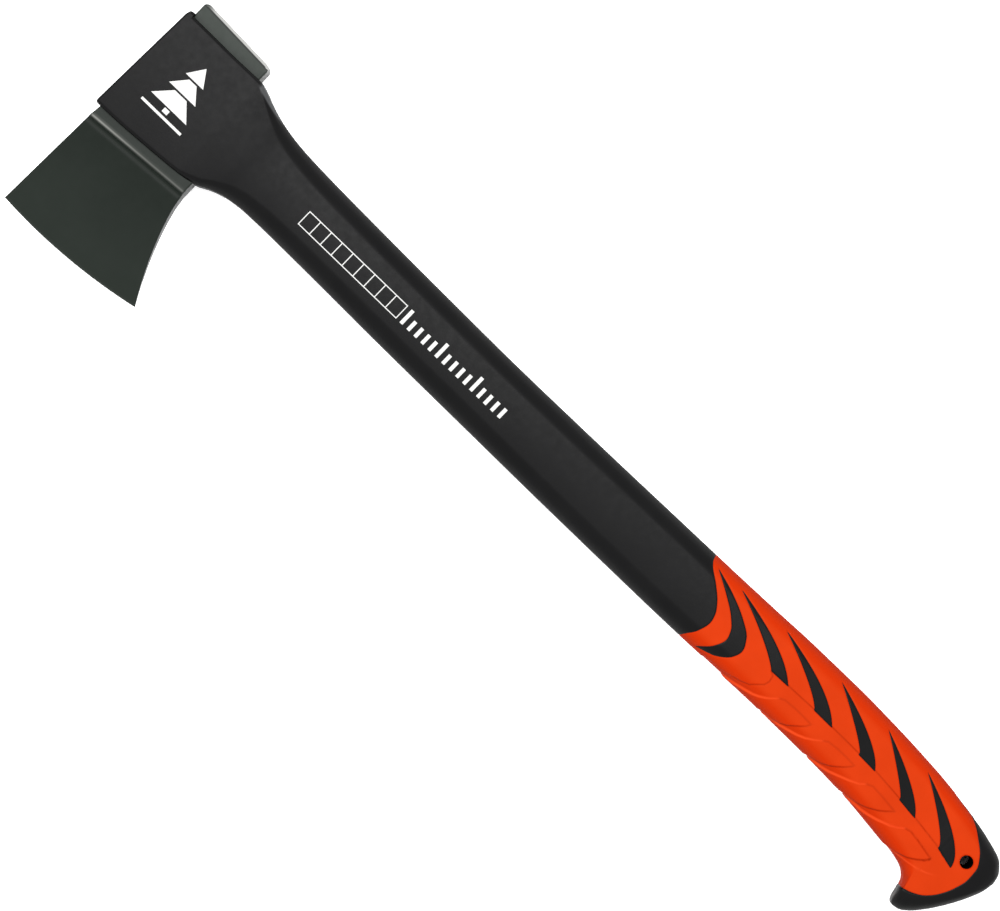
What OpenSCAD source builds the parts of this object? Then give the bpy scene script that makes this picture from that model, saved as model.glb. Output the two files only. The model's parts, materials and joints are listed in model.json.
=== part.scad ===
// Felling axe with a forged head, a moulded glass-fibre nylon haft and a soft two-tone grip.
// The axe lies on its side: X runs from the cutting edge (-X) to the poll (+X), Y runs along
// the haft from the butt to the head, and Z is the thickness. The origin is the centre of the
// lanyard hole, halfway through the thickness, and both faces are alike.

/* [Haft] */
// Distance from the lanyard hole to the foot of the collar
reach = 531.4; // [490:0.1:640]
// Distance from the lanyard hole to the centre line of the haft, towards the poll
axis_x = 2.4; // [1:0.1:4]
// Half thickness of the plain part of the haft
haft_h = 12; // [11:0.1:13]
// Diameter of the lanyard hole
lanyard_d = 7.2; // [5:0.1:9]

/* [Collar] */
// Half thickness of the collar that wraps the head
collar_h = 16; // [15:0.1:18]
// Height of the collar along the haft, on the centre line
collar_l = 65; // [64:0.1:68]
// Fall of the collar's top face towards the poll, per millimetre
collar_fall = 0.036; // [0:0.002:0.04]

/* [Grip] */
// Thickness of the soft skin moulded over the haft
skin_t = 2.2; // [1.6:0.1:3]
// Half thickness of the palm swell
swell_h = 15; // [14:0.1:17]
// Half thickness of the butt round the lanyard hole
butt_h = 14.6; // [12.5:0.1:16]

/* [Head] */
// Distance from the haft's centre line to the middle of the cutting edge
edge_x = 101.85; // [95:0.1:108]
// Radius of the cutting edge, seen from the side
edge_r = 331; // [250:1:500]
// Half thickness of the eye block and the poll
eye_h = 12; // [11:0.1:12.5]
// Half thickness of the cheek where it meets the eye block
cheek_h = 9.5; // [8:0.1:10]
// Width of the ground bevel behind the cutting edge
bevel_w = 7; // [4:0.5:10]
// Distance from the haft's centre line to the poll face, at mid height
poll_x = 44.1; // [42:0.1:48]
// Lean of the poll face, in degrees
poll_lean = 2.6; // [0:0.1:4]

/* [Core] */
// Width of the glass-fibre core rod
core_w = 30; // [24:1:32]
// Thickness of the core rod
core_t = 14; // [10:0.5:15]
// Gap all round between the core rod and the steel eye
eye_gap = 0.15; // [0.1:0.05:0.4]

/* [Hidden] */
$fn = 64;
// Beyond the faces of the axe, for cuts that go right through
far = 80;
// Beyond every side of the head
wide = 200;
// Points on each rounded corner of a section, and the greatest distance between sections
corner_n = 7;
ring_step = 12;

// ---- curves ----

function slope(a, b) = a * b <= 0 ? 0 : 2 * a * b / (a + b);
function lift(p, q, i) = (q[i] - p[i]) / (q[0] - p[0]);
function tangent(rows, k, i) =
    k == 0 ? lift(rows[0], rows[1], i)
    : k == len(rows) - 1 ? lift(rows[k - 1], rows[k], i)
    : slope(lift(rows[k - 1], rows[k], i), lift(rows[k], rows[k + 1], i));
function hermite(a, b, ta, tb, w, t) =
    a * (2 * pow(t, 3) - 3 * pow(t, 2) + 1) + b * (3 * pow(t, 2) - 2 * pow(t, 3))
    + w * ta * (pow(t, 3) - 2 * pow(t, 2) + t) + w * tb * (pow(t, 3) - pow(t, 2));
// One row between rows k and k + 1; every column but the first is a smooth function of the first
function between(rows, k, t) = [
    for (i = [0 : len(rows[k]) - 1])
        i == 0 ? rows[k][0] + t * (rows[k + 1][0] - rows[k][0])
        : hermite(rows[k][i], rows[k + 1][i], tangent(rows, k, i), tangent(rows, k + 1, i),
                  rows[k + 1][0] - rows[k][0], t)
];
function fair(rows, step) = [
    for (k = [0 : len(rows) - 2])
        let (n = ceil((rows[k + 1][0] - rows[k][0]) / step))
        for (j = [0 : n - 1])
            between(rows, k, j / n),
    rows[len(rows) - 1]
];
function bezier(a, b, c, n) = [
    for (j = [0 : n])
        let (t = j / n)
        a * pow(1 - t, 2) + b * 2 * t * (1 - t) + c * pow(t, 2)
];
function arc(x, y, r, from, to, n) = [
    for (j = [0 : n])
        let (a = from + (to - from) * j / n)
        [x + r * cos(a), y + r * sin(a)]
];
function reversed(list) = [for (i = [len(list) - 1 : -1 : 0]) list[i]];

// ---- the haft's sections ----

// Rows: y, front x, rear x, half thickness, corner radius, fall towards the poll.
// x is measured from the centre line of the haft.
BUTT = [
    [-18.8, -3.0, 0.0, butt_h - 8, 2.5, 0],
    [-17.8, -7.0, 3.9, butt_h - 5, 4, 0],
    [-16.7, -10.1, 5.7, butt_h - 3.4, 5, 0],
    [-11.7, -20.4, 10.5, butt_h - 0.9, 7, 0],
    [-6.7, -28.8, 12.4, butt_h - 0.1, 8, 0],
    [-1.7, -35.9, 13.8, butt_h, 8.5, 0],
    [3.3, -41.5, 15.1, butt_h, 9, 0],
    [8.3, -44.7, 16.1, butt_h - 0.1, 9, 0],
    [11.6, -45.1, 16.7, butt_h - 0.2, 9, 0],
    [13.0, -44.3, 17.1, butt_h - 0.25, 9, 0],
    [14.2, -42.0, 17.3, butt_h - 0.3, 9, 0],
    [14.9, -38.5, 17.4, butt_h - 0.3, 9, 0],
    [17.2, -32.0, 17.8, butt_h - 0.4, 9, 0],
    [22.0, -28.1, 18.5, butt_h - 0.6, 9.1, 0],
    [27.4, -26.5, 19.4, butt_h - 0.7, 9.3, 0]
];
GRIP = [
    [32.7, -25.5, 20.1, butt_h - 0.8, 9.5, 0],
    [43.2, -24.1, 21.2, butt_h - 0.8, 9.8, 0],
    [73.0, -21.1, 23.1, swell_h - 0.6, 10.4, 0],
    [103.0, -20.2, 24.0, swell_h, 10.8, 0],
    [133.0, -20.0, 23.9, swell_h, 11, 0],
    [163.0, -20.6, 23.1, swell_h - 0.8, 11, 0],
    [193.0, -21.3, 22.5, haft_h + 1.2, 10.8, 0],
    [222.8, -21.6, 22.1, haft_h + 0.4, 10.5, 0]
];
PLAIN = [
    [reach - 248, -21.7, 21.3, haft_h, 10.5, 0],
    [reach - 188, -21.4, 20.9, haft_h, 10.5, 0],
    [reach - 128, -21.0, 21.6, haft_h, 10.5, 0],
    [reach - 68, -20.1, 22.8, haft_h, 10.4, 0],
    [reach - 43, -19.9, 23.6, haft_h + 0.2, 10, 0],
    [reach - 28, -20.1, 24.5, haft_h + 0.7, 9, 0]
];
FLARE = [
    [reach - 18, -21.2, 25.8, collar_h - 2.6, 8, 0],
    [reach - 8, -24.1, 28.0, collar_h - 1.5, 6, 0],
    [reach, -27.8, 30.6, collar_h - 0.8, 4.4, 0],
    [reach + 6, -28.9, 33.0, collar_h - 0.3, 3, 0],
    [reach + 11, -29.5, 34.5, collar_h, 2, 0]
];
COLLAR = [
    [reach + 30, -30.9, 34.2, collar_h, 1.8, -collar_fall / 3],
    [reach + 48, -31.9, 34.4, collar_h, 1.8, -collar_fall * 2 / 3],
    [reach + collar_l - 4.0, -32.2, 34.5, collar_h, 1.8, -collar_fall],
    [reach + collar_l - 3.6, -32.2, 36.2, collar_h, 1.8, -collar_fall],
    [reach + collar_l - 1.5, -32.2, 36.0, collar_h, 1.8, -collar_fall],
    [reach + collar_l - 0.5, -31.9, 35.2, collar_h - 0.4, 1.7, -collar_fall],
    [reach + collar_l, -31.0, 33.6, collar_h - 1.4, 1.4, -collar_fall]
];
ROWS = concat(BUTT, GRIP, PLAIN, FLARE, COLLAR);

// A rounded rectangle lying across the haft, set in by e all round
function ring(row, e) =
    let (r = max(row[4] - e, 0.6), xf = row[1] + e, xr = row[2] - e, h = row[3] - e)
    [
        for (q = [0 : 3])
            let (cx = q == 0 || q == 3 ? xr - r : xf + r, cz = q < 2 ? h - r : r - h)
            for (j = [0 : corner_n - 1])
                let (a = 90 * (q + j / (corner_n - 1)), x = cx + r * cos(a))
                [x, row[0] + row[5] * x, cz + r * sin(a)]
    ];

// A closed skin over rings that all have the same number of points
module skin(rings) {
    n = len(rings[0]);
    m = len(rings);
    sides = [
        for (k = [0 : m - 2])
            for (i = [0 : n - 1])
                let (a = k * n + i, b = k * n + (i + 1) % n)
                each [[a, b, a + n], [b, b + n, a + n]]
    ];
    first = [for (i = [n - 1 : -1 : 0]) i];
    last = [for (i = [0 : n - 1]) (m - 1) * n + i];
    polyhedron([for (r = rings) each r], concat([first, last], sides));
}

module haft_form() {
    translate([axis_x, 0, 0])
        skin([for (row = fair(ROWS, ring_step)) ring(row, 0)]);
}

// The form under the soft skin
module grip_seat() {
    inner = [for (row = fair(ROWS, ring_step)) if (row[0] > -14 && row[0] < 215) ring(row, skin_t)];
    translate([axis_x, 0, 0])
        skin(inner);
}

// ---- the grip's outline and inlays ----

// Ends of the soft skin, from the front to the rear
UPPER = fair([[-30, 193], [-19, 186.8], [-13, 183.1], [-5.5, 181.2], [-1, 182.2], [5, 186.2],
              [11, 192.9], [17, 200.6], [20, 202.6], [30, 204]], 3);
LOWER = fair([[-50, 32], [-37, 20], [-34, 9.2], [-31, 3.6], [-25, -1.9], [-16, -6.3], [-8.5, -7.1],
              [-1, -6.4], [5, -2.9], [11, 3.3], [17, 14], [19, 26], [30, 44]], 3);
CRESCENT_TOP = fair([[-19.6, 178], [-13, 171.8], [-6, 169.1], [-1, 170.7], [5, 176.4], [11, 185.4],
                     [18, 197.4]], 3);
CRESCENT_FOOT = fair([[-19.6, 178], [-16, 167.6], [-10, 160.9], [-5, 159.2], [2, 162.5], [8, 171.2],
                      [14, 184.8], [18, 197.4]], 3);
// Flames: tip, front corner, foot, bend of the front edge, bend of the rear edge
FLAMES = [
    [[18.5, 181], [-1.2, 141.3], [-1, 129.8], [6.7, 150.8], [11.1, 141.6]],
    [[19.3, 149.5], [-0.5, 111], [-0.6, 98.7], [6.4, 116.9], [11.9, 109.6]],
    [[20, 110.5], [-1, 78.6], [-1.4, 67], [1.5, 77.4], [8.7, 73.2]],
    [[19, 76], [-3.2, 47.2], [-4.4, 35.3], [-1.2, 45.9], [5, 40.8]],
    [[17.3, 46], [-7.2, 15.5], [-10.3, 4], [-1.8, 15.9], [2.1, 5]]
];

module flame(tip, corner, foot, front_bend, rear_bend) {
    front = bezier(corner, front_bend, tip, 8);
    rear = bezier(tip, rear_bend, foot, 8);
    polygon(concat(front, [for (i = [1 : len(rear) - 1]) rear[i]]));
}

// Everything that shows the soft skin, seen from the side
module skin_outline() {
    difference() {
        polygon(concat(UPPER, reversed(LOWER)));
        polygon(concat(CRESCENT_TOP, reversed([for (i = [1 : len(CRESCENT_FOOT) - 2]) CRESCENT_FOOT[i]])));
        for (f = FLAMES)
            flame(f[0], f[1], f[2], f[3], f[4]);
    }
}

module skin_zone() {
    translate([axis_x, 0, -far])
        linear_extrude(2 * far)
            skin_outline();
}

module lanyard_bore() {
    translate([0, 0, -far])
        cylinder(d = lanyard_d, h = 2 * far);
}

// ---- the head ----

// Heights of the middle of the edge, the middle of the poll and the middle of the step
edge_y = reach + 44.4;
poll_y = reach + 36.7;
step_y = reach + 34.8;
// Distance from the centre line to the step between cheek and eye block, and its lean
step_x = 36.5;
step_lean = 3.7;
// Half thickness of the blade where the ground bevel starts, and at the cutting edge
bevel_h = 1.6;
edge_h = 0.15;
// Chamfer round the poll, and the corner radius of the poll seen from the side
poll_cut = 1.6;
poll_r = 3;
// Ends of the poll face, measured from its middle
poll_low = -23.8;
poll_high = 23.6;

HEAD_FOOT = fair([[-95, reach - 21.6], [-84, reach - 15.7], [-66.6, reach - 8],
                  [-51.8, reach - 2.9], [-42, reach - 0.5], [-34, reach + 0.4], [-28, reach + 0.5]], 4);

module head_outline() {
    intersection() {
        polygon(concat(HEAD_FOOT, [
            [28, reach + 5],
            [33, reach + 12.8],
            [60, reach + 12.8],
            [60, reach + 60.4],
            [34, reach + 60.4],
            [-33, reach + 62.9],
            [-40, reach + 63.8],
            [-110, reach + 67.2],
            [-110, reach - 30]
        ]));
        translate([edge_r - edge_x, edge_y])
            circle(r = edge_r, $fn = 256);
        translate([poll_x, poll_y])
            rotate(-poll_lean)
                translate([-wide, -wide])
                    square([wide, 2 * wide]);
    }
}

// Half thickness against x, measured from the step between the cheek and the eye block
module cheek_profile() {
    half = [
        [-wide, bevel_h],
        [step_x + bevel_w - edge_x, bevel_h],
        [-5, cheek_h],
        [-3.2, cheek_h],
        [-2, cheek_h + 0.5],
        [-1.2, eye_h - 0.9],
        [-0.4, eye_h - 0.15],
        [0.6, eye_h],
        [wide, eye_h]
    ];
    polygon(concat(half, [for (p = reversed(half)) [p.x, -p.y]]));
}

module cheek_form() {
    translate([-step_x, step_y, 0])
        rotate([0, 0, step_lean])
            rotate([90, 0, 0])
                linear_extrude(2 * wide, center = true)
                    cheek_profile();
}

// Two cones that meet in the cutting edge
module edge_form() {
    run = 150;
    rise = edge_h + run * (bevel_h - edge_h) / bevel_w;
    translate([edge_r - edge_x, edge_y, 0])
        rotate_extrude($fn = 256)
            polygon([[0, -rise], [edge_r - run, -rise], [edge_r, -edge_h], [edge_r, edge_h],
                     [edge_r - run, rise], [0, rise]]);
}

// The poll's end, chamfered all round
module poll_form() {
    neck = -12;
    face = [[-wide, -eye_h], [-poll_cut, -eye_h], [0, poll_cut - eye_h], [0, eye_h - poll_cut],
            [-poll_cut, eye_h], [-wide, eye_h]];
    side = concat([[-wide, -wide], [neck, -wide], [neck, poll_low - 2]],
                  arc(-poll_r, poll_low + poll_r, poll_r, -90, 0, 8),
                  arc(-poll_r, poll_high - poll_r, poll_r, 0, 90, 8),
                  [[neck, poll_high + 2], [neck, wide], [-wide, wide]]);
    translate([poll_x, poll_y, 0])
        rotate([0, 0, -poll_lean])
            intersection() {
                rotate([90, 0, 0])
                    linear_extrude(2 * wide, center = true)
                        polygon(face);
                linear_extrude(4 * eye_h, center = true)
                    polygon(side);
            }
}

module head_solid() {
    translate([axis_x, 0, 0])
        intersection() {
            linear_extrude(2 * eye_h, center = true)
                head_outline();
            cheek_form();
            edge_form();
            poll_form();
        }
}

// ---- the core ----

// Ends of the core rod
core_foot = 45;
core_top = reach + 58;

module core_section(grow) {
    half_flat = (core_w - core_t) / 2;
    square([2 * half_flat, core_t + 2 * grow], center = true);
    for (side = [-1, 1])
        translate([side * half_flat, 0])
            circle(d = core_t + 2 * grow);
}

module core_solid(grow, from_y, to_y) {
    translate([axis_x, to_y, 0])
        rotate([90, 0, 0])
            linear_extrude(to_y - from_y)
                core_section(grow);
}

// ---- the pieces ----

module axe_head() {
    color([0.2, 0.21, 0.2])
        difference() {
            head_solid();
            core_solid(eye_gap, reach - far, reach + 2 * far);
        }
}

module fibre_core() {
    color([0.75, 0.72, 0.6])
        core_solid(0, core_foot, core_top);
}

module haft() {
    color([0.17, 0.17, 0.17])
        difference() {
            union() {
                difference() {
                    haft_form();
                    skin_zone();
                }
                grip_seat();
            }
            head_solid();
            core_solid(0, core_foot, core_top);
            lanyard_bore();
        }
}

module grip() {
    color([0.92, 0.27, 0.08])
        difference() {
            intersection() {
                haft_form();
                skin_zone();
            }
            grip_seat();
            lanyard_bore();
        }
}

axe_head();
fibre_core();
haft();
grip();
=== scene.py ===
import json
import math

import bpy
import numpy as np
from mathutils import Matrix, Vector


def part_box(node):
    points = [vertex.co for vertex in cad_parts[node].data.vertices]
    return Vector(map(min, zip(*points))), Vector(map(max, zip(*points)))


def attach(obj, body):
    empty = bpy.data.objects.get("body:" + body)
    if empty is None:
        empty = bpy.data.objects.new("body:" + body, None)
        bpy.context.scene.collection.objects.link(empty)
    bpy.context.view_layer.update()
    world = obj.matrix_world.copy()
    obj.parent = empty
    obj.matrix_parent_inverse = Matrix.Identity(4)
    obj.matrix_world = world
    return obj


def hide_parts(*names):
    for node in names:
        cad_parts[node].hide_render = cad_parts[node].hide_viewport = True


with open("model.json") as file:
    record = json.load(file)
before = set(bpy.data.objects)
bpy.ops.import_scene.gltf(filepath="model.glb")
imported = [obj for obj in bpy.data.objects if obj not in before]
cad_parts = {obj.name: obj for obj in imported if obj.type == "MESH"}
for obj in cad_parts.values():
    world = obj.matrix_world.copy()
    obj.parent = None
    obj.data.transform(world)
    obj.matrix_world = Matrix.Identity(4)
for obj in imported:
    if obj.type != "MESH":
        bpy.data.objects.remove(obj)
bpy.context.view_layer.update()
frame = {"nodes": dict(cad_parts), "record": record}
MM = 0.001

# ---------------------------------------------------------------- the frame, in millimetres


def mount(name):
    return next(m for m in frame["record"]["mounts"] if m["name"] == name)


POLL_X = 44.1           # poll face to the centre line of the haft
POLL_UP = 36.7          # middle of the poll above the foot of the collar
POLL_AT = np.array(mount("poll_face")["pos_m"]) / MM
AXIS_X = POLL_AT[0] - POLL_X
REACH = POLL_AT[1] - POLL_UP
COLLAR_L = 65.0         # foot of the collar to its top
COLLAR_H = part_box("haft")[1].z / MM     # half thicknesses: collar, plain shaft, palm swell, butt
HAFT_H = 12.0
SWELL_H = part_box("grip")[1].z / MM
BUTT_H = SWELL_H - 0.4
FALL = 0.036            # the collar's top falls this much for each millimetre towards the poll
SKIN_T = 2.2            # thickness of the soft skin
LANYARD_R = 3.6

# ---------------------------------------------------------------- smooth rows


def lift(rows, k):
    """Slope of every column between row k and the next."""
    return (rows[k + 1, 1:] - rows[k, 1:]) / (rows[k + 1, 0] - rows[k, 0])


def tangents(rows):
    """Monotone slopes at each row, so that a smooth curve through the rows never overshoots."""
    steps = np.array([lift(rows, k) for k in range(len(rows) - 1)])
    inner = np.zeros((len(rows) - 2, rows.shape[1] - 1))
    a, b = steps[:-1], steps[1:]
    same = a * b > 0
    inner[same] = 2 * a[same] * b[same] / (a[same] + b[same])
    return np.vstack([steps[:1], inner, steps[-1:]])


def fair(rows, at):
    """Every column but the first as a smooth function of the first, at the places given."""
    rows = np.array(rows, float)
    slopes = tangents(rows)
    k = np.clip(np.searchsorted(rows[:, 0], at, side="right") - 1, 0, len(rows) - 2)
    w = (rows[k + 1, 0] - rows[k, 0])[:, None]
    t = (at - rows[k, 0])[:, None] / w
    a, b = rows[k, 1:], rows[k + 1, 1:]
    return (a * (2 * t**3 - 3 * t**2 + 1) + b * (3 * t**2 - 2 * t**3)
            + w * slopes[k] * (t**3 - 2 * t**2 + t) + w * slopes[k + 1] * (t**3 - t**2))


def curve(rows, step=1.0):
    """A smooth curve through points given by rising x, as an outline."""
    rows = np.array(rows, float)
    at = np.unique(np.concatenate([np.arange(rows[0, 0], rows[-1, 0], step), rows[:, 0]]))
    return np.column_stack([at, fair(rows, at)[:, 0]])


def bezier(a, b, c, n=16):
    """A bend from a to c, drawn towards b."""
    t = np.linspace(0, 1, n + 1)[:, None]
    a, b, c = (np.array(p, float) for p in (a, b, c))
    return a * (1 - t)**2 + b * 2 * t * (1 - t) + c * t**2


# ---------------------------------------------------------------- the haft's sections

# y, front x, rear x, half thickness, corner radius, fall towards the poll
BUTT = [
    (-18.8, -3, 0, BUTT_H - 8, 2.5, 0), (-17.8, -7, 3.9, BUTT_H - 5, 4, 0),
    (-16.7, -10.1, 5.7, BUTT_H - 3.4, 5, 0), (-11.7, -20.4, 10.5, BUTT_H - 0.9, 7, 0),
    (-6.7, -28.8, 12.4, BUTT_H - 0.1, 8, 0), (-1.7, -35.9, 13.8, BUTT_H, 8.5, 0),
    (3.3, -41.5, 15.1, BUTT_H, 9, 0), (8.3, -44.7, 16.1, BUTT_H - 0.1, 9, 0),
    (11.6, -45.1, 16.7, BUTT_H - 0.2, 9, 0), (13, -44.3, 17.1, BUTT_H - 0.25, 9, 0),
    (14.2, -42, 17.3, BUTT_H - 0.3, 9, 0), (14.9, -38.5, 17.4, BUTT_H - 0.3, 9, 0),
    (17.2, -32, 17.8, BUTT_H - 0.4, 9, 0), (22, -28.1, 18.5, BUTT_H - 0.6, 9.1, 0),
    (27.4, -26.5, 19.4, BUTT_H - 0.7, 9.3, 0),
]
GRIP = [
    (32.7, -25.5, 20.1, BUTT_H - 0.8, 9.5, 0), (43.2, -24.1, 21.2, BUTT_H - 0.8, 9.8, 0),
    (73, -21.1, 23.1, SWELL_H - 0.6, 10.4, 0), (103, -20.2, 24, SWELL_H, 10.8, 0),
    (133, -20, 23.9, SWELL_H, 11, 0), (163, -20.6, 23.1, SWELL_H - 0.8, 11, 0),
    (193, -21.3, 22.5, HAFT_H + 1.2, 10.8, 0), (222.8, -21.6, 22.1, HAFT_H + 0.4, 10.5, 0),
]
SHAFT = [
    (-248, -21.7, 21.3, HAFT_H, 10.5, 0), (-188, -21.4, 20.9, HAFT_H, 10.5, 0),
    (-128, -21, 21.6, HAFT_H, 10.5, 0), (-68, -20.1, 22.8, HAFT_H, 10.4, 0),
    (-43, -19.9, 23.6, HAFT_H + 0.2, 10, 0), (-28, -20.1, 24.5, HAFT_H + 0.7, 9, 0),
    (-18, -21.2, 25.8, COLLAR_H - 2.6, 8, 0), (-8, -24.1, 28, COLLAR_H - 1.5, 6, 0),
    (0, -27.8, 30.6, COLLAR_H - 0.8, 4.4, 0), (6, -28.9, 33, COLLAR_H - 0.3, 3, 0),
    (11, -29.5, 34.5, COLLAR_H, 2, 0), (30, -30.9, 34.2, COLLAR_H, 1.8, -FALL / 3),
    (48, -31.9, 34.4, COLLAR_H, 1.8, -FALL * 2 / 3),
    (COLLAR_L - 4, -32.2, 34.5, COLLAR_H, 1.8, -FALL),
    (COLLAR_L - 3.6, -32.2, 36.2, COLLAR_H, 1.8, -FALL),
    (COLLAR_L - 1.5, -32.2, 36, COLLAR_H, 1.8, -FALL),
    (COLLAR_L - 0.5, -31.9, 35.2, COLLAR_H - 0.4, 1.7, -FALL),
    (COLLAR_L, -31, 33.6, COLLAR_H - 1.4, 1.4, -FALL),
]
ROWS = np.array(BUTT + GRIP + [(REACH + r[0],) + r[1:] for r in SHAFT], float)
CORNER_N, WIDE_N, NARROW_N = 36, 62, 18     # points to a corner, a wide face and a narrow face
CROWN = 1.0             # the wide faces bow out by this much


def rings(ys):
    """Rounded rectangles lying across the haft: an array of rows by points round by (x, y, z)."""
    xf, xr, h, r, fall = fair(ROWS, ys).T
    parts = []
    turn = np.linspace(0, math.pi / 2, CORNER_N)
    corner = []
    for q in range(4):
        cx = (xr - r) if q in (0, 3) else (xf + r)
        cz = (h - r) if q < 2 else (r - h)
        a = turn + q * math.pi / 2
        corner.append(np.stack([cx[:, None] + r[:, None] * np.cos(a),
                                cz[:, None] + r[:, None] * np.sin(a)], -1))
    for q in range(4):
        n = WIDE_N if q in (0, 2) else NARROW_N
        t = (np.arange(1, n + 1) / (n + 1))[None, :, None]
        a, b = corner[q][:, -1:], corner[(q + 1) % 4][:, :1]
        parts += [corner[q], a + (b - a) * t]
    flat = np.concatenate(parts, 1)
    y = ys[:, None] + fall[:, None] * flat[:, :, 0]
    drop = crown_drop(flat[:, :, 0], ys[:, None], (xr - xf)[:, None] / 2)
    return np.stack([flat[:, :, 0], y, flat[:, :, 1] * (1 - drop / h[:, None])], -1)


def smooth(a, b, v):
    """0 at a, 1 at b, with level ends."""
    t = np.clip((v - a) / (b - a), 0, 1)
    return t * t * (3 - 2 * t)


def crown_drop(x, y, half_width):
    """How far a crowned face lies under its middle; the collar's faces are flatter."""
    return CROWN * (1 - 0.5 * smooth(REACH - 30, REACH + 12, y)) * (x / half_width)**2


def grid_normals(p):
    """Outward unit normals of a net of rings."""
    along = np.gradient(p, axis=0)
    around = np.roll(p, -1, 1) - np.roll(p, 1, 1)
    n = np.cross(along, around)
    return n / np.maximum(np.linalg.norm(n, axis=-1, keepdims=True), 1e-9)


# ---------------------------------------------------------------- outlines on the grip

UPPER = [(-30, 193), (-19, 186.8), (-13, 183.1), (-5.5, 181.2), (-1, 182.2), (5, 186.2),
         (11, 192.9), (17, 200.6), (20, 202.6), (30, 204)]
LOWER = [(-50, 32), (-37, 20), (-33.9, 10.2), (-29.9, 3.7), (-24, -1.3), (-16.5, -4.9),
         (-8.5, -6.8), (-2, -6.4), (4.6, -2.7), (10.1, 3.3), (17, 14), (19, 26), (30, 44)]
CRESCENT_TOP = [(-19.6, 178), (-13, 171.8), (-6, 169.1), (-1, 170.7), (5, 176.4), (11, 185.4),
                (18, 197.4)]
CRESCENT_FOOT = [(-19.6, 178), (-16, 167.6), (-10, 160.9), (-5, 159.2), (2, 162.5), (8, 171.2),
                 (14, 184.8), (18, 197.4)]
# tip, front corner, foot, bend of the front edge, bend of the rear edge
FLAMES = [
    ((18.5, 181), (-1.2, 141.3), (-1, 129.8), (6.7, 150.8), (11.1, 141.6)),
    ((19.3, 149.5), (-0.5, 111), (-0.6, 98.7), (6.4, 116.9), (11.9, 109.6)),
    ((20, 110.5), (-1, 78.6), (-1.4, 67), (1.5, 77.4), (8.7, 73.2)),
    ((19, 76), (-3.2, 47.2), (-4.4, 35.3), (-1.2, 45.9), (5, 40.8)),
    ((17.3, 46), (-7.2, 15.5), (-10.3, 4), (-1.8, 15.9), (2.1, 5)),
]


# How far from an outline its distance is still measured, and how far the lands reach past theirs
REACH_OUT = 4.0
LAND_GROW = 0.15


def flame_outline(tip, corner, foot, front_bend, rear_bend):
    return np.vstack([bezier(corner, front_bend, tip)[:-1], bezier(tip, rear_bend, foot)])


def closed_between(top, foot):
    a, b = curve(top), curve(foot)[::-1]
    return np.vstack([a, b])


def segment_distance(x, y, a, b):
    """Distance to the straight line from a to b."""
    d = b - a
    t = np.clip(((x - a[0]) * d[0] + (y - a[1]) * d[1]) / max(d @ d, 1e-12), 0, 1)
    return np.hypot(x - a[0] - t * d[0], y - a[1] - t * d[1])


def inside_depth(x, y, outline):
    """Distance to an outline, positive inside and negative outside, at most REACH_OUT outside."""
    depth = np.full(x.shape, -REACH_OUT)
    lo, hi = outline.min(0) - REACH_OUT, outline.max(0) + REACH_OUT
    near = (x > lo[0]) & (x < hi[0]) & (y > lo[1]) & (y < hi[1])
    px, py = x[near], y[near]
    best = np.full(px.shape, 1e9)
    inside = np.zeros(px.shape, bool)
    for a, b in zip(outline, np.roll(outline, -1, 0)):
        best = np.minimum(best, segment_distance(px, py, a, b))
        if a[1] != b[1]:
            crosses = (a[1] > py) != (b[1] > py)
            inside ^= crosses & (px < (b[0] - a[0]) * (py - a[1]) / (b[1] - a[1]) + a[0])
    depth[near] = np.maximum(np.where(inside, best, -best), -REACH_OUT)
    return depth


def line_distance(x, y, points):
    """Distance to a bent line, at most REACH_OUT."""
    best = np.full(x.shape, REACH_OUT)
    points = np.array(points, float)
    for a, b in zip(points[:-1], points[1:]):
        best = np.minimum(best, segment_distance(x, y, a, b))
    return best


def land_depth(x, y):
    """How far inside the hard black surface a place is, and negative on the soft skin."""
    skin = closed_between(UPPER, LOWER)
    depth = -inside_depth(x, y, skin)
    lands = [closed_between(CRESCENT_TOP, CRESCENT_FOOT)] + [flame_outline(*f) for f in FLAMES]
    for land in lands:
        depth = np.maximum(depth, inside_depth(x, y, land) + LAND_GROW)
    return depth


# Depth of the joint line, the width over which an edge rolls into it, and how deep each piece
# passes under the other
GROOVE, EDGE_ROUND, SINK = 0.22, 0.5, 1.7
UNDER_SLOPE = 0.8


def own_side(d):
    """Offset of a surface by its depth inside its own zone: down the joint line, then under."""
    roll = -GROOVE * (1 - np.clip(d / EDGE_ROUND, 0, 1))**2
    under = np.clip(-GROOVE + UNDER_SLOPE * d, -SINK, 0)
    return np.where(d >= 0, roll, under)


# ---------------------------------------------------------------- meshes


def new_object(name, points, faces, material, sharp=35):
    mesh = bpy.data.meshes.new(name)
    mesh.from_pydata(points * MM, [], faces)
    mesh.update()
    mesh.validate()
    mesh.shade_smooth()
    mesh.set_sharp_from_angle(angle=math.radians(sharp))
    mesh.materials.append(material)
    obj = bpy.data.objects.new(name, mesh)
    bpy.context.scene.collection.objects.link(obj)
    return obj


def add_value(obj, name, values):
    """Stores one number a point, which a material reads by its name."""
    field = obj.data.attributes.new(name, "FLOAT", "POINT")
    field.data.foreach_set("value", np.asarray(values, np.float32).ravel())


def tube_faces(m, n, start=0, flip=False):
    """Quads of a tube of m rings with n points each."""
    k, i = np.meshgrid(np.arange(m - 1), np.arange(n), indexing="ij")
    a = start + k * n + i
    b = start + k * n + (i + 1) % n
    quads = np.stack([a, a + n, b + n, b], -1).reshape(-1, 4)
    return quads[:, ::-1] if flip else quads


def cap_rings(ring, steps):
    """Smaller and smaller copies of an end ring, so that the end face has an even net."""
    mid = ring.mean(0)
    return np.stack([mid + (ring - mid) * (1 - s) for s in np.linspace(0, 0.96, steps + 1)[1:]])


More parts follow.
